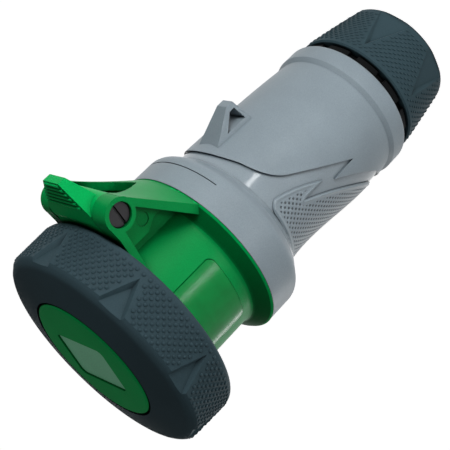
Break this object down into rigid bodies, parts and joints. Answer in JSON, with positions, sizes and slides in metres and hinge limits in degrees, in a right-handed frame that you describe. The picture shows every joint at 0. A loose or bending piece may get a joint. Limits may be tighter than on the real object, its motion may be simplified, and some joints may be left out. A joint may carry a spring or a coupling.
{
  "type": "pin and sleeve connector",
  "caption": "Pin and sleeve power connector with a hinged lid, a bayonet lock ring with triangular facets, a grey handle with grip pads and hanging eye, and a cable gland nut.",
  "frame": {"origin": "centre of the gland nut's cable opening, in the plane of the nut's end face, on which the part stands", "axes": "+Z along the axis from the cable end to the lid, +X to the lid's hinge, +Y completes a right-handed frame"},
  "size_m": [0.1648, 0.1366, 0.2774],
  "materials": {
    "grey_moulding": "fine grain, satin",
    "green_moulding": "fine grain, satin",
    "marking_plate": "gloss",
    "pale_window": "clear satin film",
    "slate_moulding": "dimpled, satin",
    "black_moulding": "satin",
    "carrier_moulding": "satin",
    "black_rubber": "matte",
    "contact_brass": "machined",
    "small_steel": "zinc plated",
    "black_screw": "satin black"
  },
  "bodies": {
    "housing": {"handle_housing": "grey_moulding", "front_housing": "green_moulding", "marking_plate": "marking_plate", "housing_seal": "black_rubber", "contact_carrier": "carrier_moulding", "contact_insert": "carrier_moulding", "contact_face": "carrier_moulding", "carrier_back_plate": "carrier_moulding", "carrier_screws": "small_steel", "contact_pe": "contact_brass", "contact_l1": "contact_brass", "contact_l2": "contact_brass", "contact_l3": "contact_brass", "contact_n": "contact_brass", "contact_pilot": "contact_brass", "terminal_screws": "small_steel", "sleeve_springs": "small_steel", "shroud_seal": "black_rubber", "hinge_pin": "black_screw", "hinge_spring": "small_steel", "gland_body": "black_moulding", "gland_grommet": "black_rubber", "clamping_cage": "black_moulding"},
    "lid": {"lid": "green_moulding", "lid_window": "pale_window", "lid_seal": "black_rubber"},
    "lock_ring": {"lock_ring": "slate_moulding", "ring_retainer": "black_moulding"},
    "gland_nut": {"gland_nut": "slate_moulding"}
  },
  "joints": [
    {"name": "lid_hinge", "type": "hinge", "parent": "housing", "child": "lid", "pos_m": [0.073, 0, 0.2322], "axis": [0, 1, 0], "range_deg": [0, 120], "stiffness_Nm_per_rad": 0.08, "springref_deg": -114.59},
    {"name": "ring_turn", "type": "hinge", "parent": "lid", "child": "lock_ring", "pos_m": [0, 0, 0.2591], "axis": [0, 0, 1], "range_deg": [0, 27]},
    {"name": "nut_turn", "type": "hinge", "parent": "housing", "child": "gland_nut", "pos_m": [0, 0, 0.0216], "axis": [0, 0, 1], "continuous": true}
  ]
}
